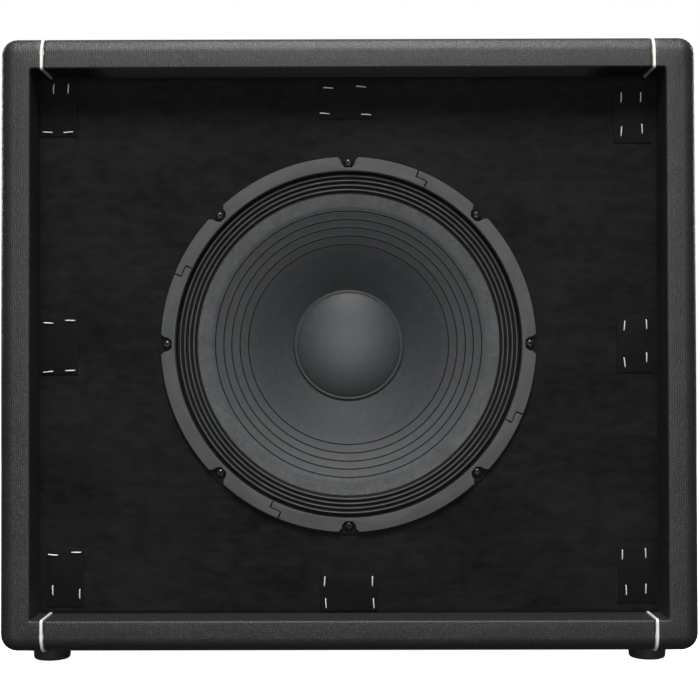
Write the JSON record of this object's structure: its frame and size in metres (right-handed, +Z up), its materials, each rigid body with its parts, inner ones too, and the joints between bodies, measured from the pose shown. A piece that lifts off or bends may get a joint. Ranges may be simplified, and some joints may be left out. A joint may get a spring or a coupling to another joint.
{
  "type": "guitar speaker cabinet",
  "caption": "Black vinyl covered guitar speaker cabinet with white piping and one large cone speaker, shown with its front grille taken off.",
  "frame": {"origin": "on the floor under the middle of the cabinet, level with the undersides of the feet", "axes": "+X across the front from left to right as seen from the front, +Y from the front to the back, +Z up"},
  "size_m": [0.5576, 0.2924, 0.5268],
  "materials": {
    "plywood": "bare birch plywood",
    "pine": "planed softwood",
    "baffle_paint": "plywood with thin matt black paint, grain showing",
    "vinyl": "black vinyl with a fine woven grain",
    "piping": "white vinyl bead",
    "hook_tape": "black hook tape",
    "staple_wire": "bright wire",
    "foot_rubber": "black moulded rubber",
    "zinc_steel": "zinc plated steel",
    "black_steel": "black oxide steel",
    "nickel_trim": "nickel plated",
    "handle_plastic": "moulded black plastic",
    "strap_vinyl": "black grained vinyl over a core",
    "basket_paint": "satin black painted pressed steel",
    "gasket_fibre": "dark grey fibre board",
    "surround_paper": "doped paper",
    "cone_paper": "dark pressed paper pulp",
    "cap_paper": "smooth felted paper",
    "former_film": "kraft paper former",
    "copper_wire": "enamelled copper wire",
    "spider_cloth": "phenolic dipped cotton",
    "ferrite": "sintered ferrite",
    "phenolic_board": "brown phenolic board",
    "tinned_brass": "tinned brass",
    "tinsel": "braided tinsel wire",
    "black_plate": "black powder coated steel",
    "jack_plastic": "black moulded jack body",
    "black_insulation": "black insulated wire",
    "red_insulation": "red insulated wire"
  },
  "bodies": {
    "cabinet": {"bottom_panel": "plywood", "top_panel": "plywood", "left_side_panel": "plywood", "right_side_panel": "plywood", "left_vinyl": "vinyl", "right_vinyl": "vinyl", "top_vinyl": "vinyl", "bottom_vinyl": "vinyl", "back_panel_vinyl": "vinyl", "piping_top_left": "piping", "piping_top_right": "piping", "piping_bottom_left": "piping", "piping_bottom_right": "piping", "front_battens": "pine", "rear_battens": "pine", "baffle_board": "baffle_paint", "back_panel": "plywood", "back_panel_cup_washers": "nickel_trim", "back_panel_screws": "black_steel", "baffle_screws": "zinc_steel", "grille_pads": "hook_tape", "pad_staples": "staple_wire", "rubber_feet": "foot_rubber", "foot_washers": "zinc_steel", "foot_screws": "zinc_steel", "handle_cap_left": "handle_plastic", "handle_cap_right": "handle_plastic", "handle_screws": "nickel_trim", "speaker_frame": "basket_paint", "gasket_segments": "gasket_fibre", "surround": "surround_paper", "spider": "spider_cloth", "front_plate": "zinc_steel", "magnet": "ferrite", "pole_and_back_plate": "zinc_steel", "terminal_board": "phenolic_board", "solder_tabs": "tinned_brass", "tinsel_leads": "tinsel", "speaker_screws": "black_steel", "tee_nuts": "zinc_steel", "jack_plate": "black_plate", "jack_plate_screws": "black_steel", "jack_socket": "jack_plastic", "jack_nut": "nickel_trim", "jack_lugs": "tinned_brass", "lead_black": "black_insulation", "lead_red": "red_insulation", "lead_connectors": "tinned_brass"},
    "cone_and_coil": {"cone": "cone_paper", "dust_cap": "cap_paper", "coil_former": "former_film", "coil_winding": "copper_wire"},
    "strap": {"handle_strap": "strap_vinyl"},
    "tip_contact": {"jack_tip_contact": "tinned_brass"}
  },
  "joints": [
    {"name": "cone_travel", "type": "slide", "parent": "cabinet", "child": "cone_and_coil", "axis": [0, -1, 0], "range_m": [-0.003, 0.003], "stiffness_N_per_m": 3000, "deforming": ["surround", "spider", "tinsel_leads"]},
    {"name": "strap_lift", "type": "slide", "parent": "cabinet", "child": "strap", "axis": [0, 0, 1], "range_m": [0, 0.025], "deforming": ["handle_strap"]},
    {"name": "tip_contact_flex", "type": "hinge", "parent": "cabinet", "child": "tip_contact", "pos_m": [0, 0.0925, 0.1385], "axis": [1, 0, 0], "range_deg": [0, 4], "stiffness_Nm_per_rad": 0.5}
  ]
}
